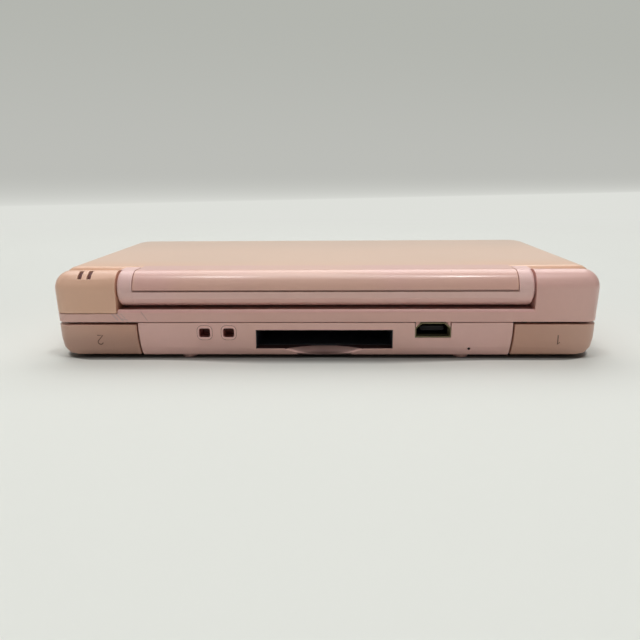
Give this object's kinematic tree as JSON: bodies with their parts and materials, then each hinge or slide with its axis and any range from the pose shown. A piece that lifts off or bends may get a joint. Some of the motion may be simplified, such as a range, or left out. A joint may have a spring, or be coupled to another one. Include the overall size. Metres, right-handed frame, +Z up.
{
  "type": "clamshell handheld game console",
  "caption": "Folding two-screen handheld game console, closed, with a barrel hinge, shoulder buttons, card slot, charging socket and pull-out stylus.",
  "frame": {"origin": "centre of the closed console's footprint, on the surface that its feet stand on", "axes": "+X to the player's right along the hinge, +Y from the front edge to the hinge at the back, +Z up through the closed lid"},
  "size_m": [0.133, 0.0738, 0.0215],
  "materials": {
    "shell_pink": "satin pink moulded plastic",
    "lid_gloss": "clear-coated pink plastic, aged towards peach",
    "end_cover_peach": "peach moulded plastic",
    "shoulder_tan": "tan pink moulded plastic",
    "button_gloss": "gloss pink plastic",
    "black_plastic": "black plastic",
    "screen_glass": "dark polished screen",
    "steel": "tinned sheet and turned steel",
    "circuit_board": "solder-masked glass-fibre board",
    "grey_rubber": "moulded silicone rubber",
    "amber_resin": "translucent red-brown acrylic",
    "battery_wrap": "shrink-wrapped lithium pack",
    "flex_film": "polyimide film"
  },
  "bodies": {
    "base": {"base_lower_shell": "shell_pink", "base_upper_shell": "shell_pink", "hinge_end_cover": "end_cover_peach", "led_light_guide": "amber_resin", "hinge_clutch_pin": "steel", "hinge_hollow_pin": "steel", "shoulder_pin_left": "steel", "shoulder_pin_right": "steel", "main_board": "circuit_board", "wifi_module": "steel", "card_slot_cage": "black_plastic", "cartridge_slot_cage": "steel", "battery_pack": "battery_wrap", "battery_cover": "shell_pink", "battery_cover_screw": "steel", "base_screw_front_left": "steel", "base_screw_front_right": "steel", "base_screw_back_left": "steel", "base_screw_back_right": "steel", "foot_front_left": "shell_pink", "foot_front_right": "shell_pink", "foot_back_left": "shell_pink", "foot_back_right": "shell_pink", "charging_socket": "steel", "audio_jack": "black_plastic", "touch_panel": "screen_glass", "lower_display_panel": "black_plastic", "button_mat": "grey_rubber", "ribbon_tail": "flex_film"},
    "lid": {"lid_inner_shell": "shell_pink", "lid_outer_cover": "lid_gloss", "upper_display_window": "screen_glass", "upper_display_panel": "black_plastic", "speaker_left": "black_plastic", "speaker_right": "black_plastic", "lid_pad_front_left": "grey_rubber", "lid_pad_front_right": "grey_rubber", "lid_pad_back_left": "grey_rubber", "lid_pad_back_right": "grey_rubber", "lid_screw_front_left": "steel", "lid_screw_front_right": "steel", "lid_screw_back_left": "steel", "lid_screw_back_right": "steel", "microphone": "black_plastic", "hinge_clutch": "steel", "display_ribbon": "flex_film"},
    "shoulder_left": {"shoulder_button_left": "shoulder_tan"},
    "shoulder_right": {"shoulder_button_right": "shoulder_tan"},
    "dpad_hub": {"dpad_pivot": "grey_rubber"},
    "dpad": {"dpad": "button_gloss"},
    "button_right": {"face_button_right": "button_gloss"},
    "button_upper": {"face_button_upper": "button_gloss"},
    "button_left": {"face_button_left": "button_gloss"},
    "button_lower": {"face_button_lower": "button_gloss"},
    "start": {"start_button": "button_gloss"},
    "select": {"select_button": "button_gloss"},
    "power": {"power_switch": "shell_pink"},
    "volume": {"volume_slider": "shell_pink"},
    "stylus": {"stylus": "shell_pink"},
    "dust_cover": {"cartridge_dust_cover": "shell_pink"}
  },
  "joints": [
    {"name": "lid_hinge", "type": "hinge", "parent": "base", "child": "lid", "pos_m": [0, 0.03255, 0.0171], "axis": [-1, 0, 0], "range_deg": [0, 165]},
    {"name": "shoulder_left_press", "type": "hinge", "parent": "base", "child": "shoulder_left", "pos_m": [-0.0491, 0.03265, 0.005], "axis": [0, 0, 1], "range_deg": [0, 2.4], "stiffness_Nm_per_rad": 0.3, "springref_deg": -1.15},
    {"name": "shoulder_right_press", "type": "hinge", "parent": "base", "child": "shoulder_right", "pos_m": [0.0491, 0.03265, 0.005], "axis": [0, 0, -1], "range_deg": [0, 2.4], "stiffness_Nm_per_rad": 0.3, "springref_deg": -1.15},
    {"name": "dpad_tilt_front_back", "type": "hinge", "parent": "base", "child": "dpad_hub", "pos_m": [-0.04875, 0.003, 0.0098], "axis": [1, 0, 0], "range_deg": [-2, 2], "stiffness_Nm_per_rad": 0.06},
    {"name": "dpad_tilt_left_right", "type": "hinge", "parent": "dpad_hub", "child": "dpad", "pos_m": [-0.04875, 0.003, 0.0098], "axis": [0, 1, 0], "range_deg": [-2, 2], "stiffness_Nm_per_rad": 0.06},
    {"name": "button_right_press", "type": "slide", "parent": "base", "child": "button_right", "axis": [0, 0, -1], "range_m": [0, 0.0005], "stiffness_N_per_m": 600, "springref_m": -0.0005},
    {"name": "button_upper_press", "type": "slide", "parent": "base", "child": "button_upper", "axis": [0, 0, -1], "range_m": [0, 0.0005], "stiffness_N_per_m": 600, "springref_m": -0.0005},
    {"name": "button_left_press", "type": "slide", "parent": "base", "child": "button_left", "axis": [0, 0, -1], "range_m": [0, 0.0005], "stiffness_N_per_m": 600, "springref_m": -0.0005},
    {"name": "button_lower_press", "type": "slide", "parent": "base", "child": "button_lower", "axis": [0, 0, -1], "range_m": [0, 0.0005], "stiffness_N_per_m": 600, "springref_m": -0.0005},
    {"name": "start_press", "type": "slide", "parent": "base", "child": "start", "axis": [0, 0, -1], "range_m": [0, 0.0005], "stiffness_N_per_m": 600, "springref_m": -0.0005},
    {"name": "select_press", "type": "slide", "parent": "base", "child": "select", "axis": [0, 0, -1], "range_m": [0, 0.0005], "stiffness_N_per_m": 600, "springref_m": -0.0005},
    {"name": "power_slide", "type": "slide", "parent": "base", "child": "power", "axis": [0, 1, 0], "range_m": [0, 0.0022], "stiffness_N_per_m": 150, "springref_m": -0.002},
    {"name": "volume_slide", "type": "slide", "parent": "base", "child": "volume", "axis": [1, 0, 0], "range_m": [-0.004, 0.004]},
    {"name": "stylus_pull", "type": "slide", "parent": "base", "child": "stylus", "axis": [1, 0, 0], "range_m": [0, 0.088]},
    {"name": "dust_cover_pull", "type": "slide", "parent": "base", "child": "dust_cover", "axis": [0, -1, 0], "range_m": [0, 0.03]}
  ]
}
